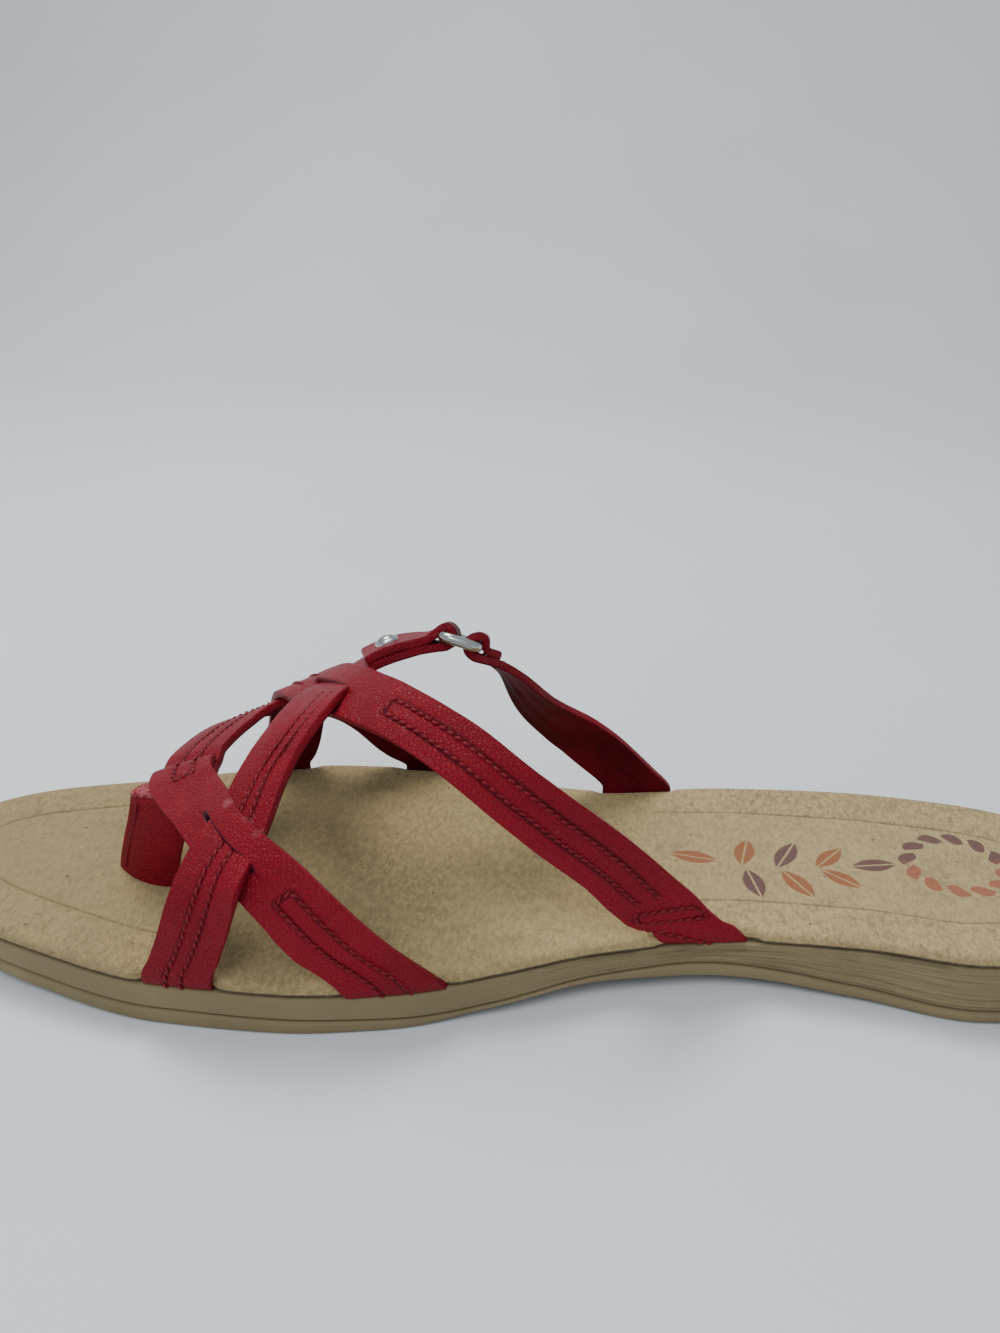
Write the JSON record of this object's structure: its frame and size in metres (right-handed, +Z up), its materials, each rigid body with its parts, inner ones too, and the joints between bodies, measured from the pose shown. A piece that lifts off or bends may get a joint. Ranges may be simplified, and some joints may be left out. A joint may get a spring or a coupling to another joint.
{
  "type": "strappy toe-post sandal",
  "caption": "Flat toe-post sandal with a moulded sole, a suede footbed, woven leather straps and a metal ring that joins them to a rear strap.",
  "frame": {"origin": "on the floor under the middle of the box round the shoe", "axes": "+X from toe to heel, +Y to the outer side of the foot, +Z up"},
  "size_m": [0.28, 0.092, 0.0704],
  "materials": {
    "sole_rubber": "matte, finely ribbed",
    "footbed_suede": "suede nap",
    "strap_leather": "soft semi-gloss grain",
    "ring_metal": "polished",
    "snap_metal": "polished"
  },
  "bodies": {
    "root": {"outsole": "sole_rubber", "footbed": "footbed_suede", "upper": "strap_leather", "rear_strap": "strap_leather", "ring": "ring_metal", "snap": "snap_metal"}
  },
  "joints": []
}
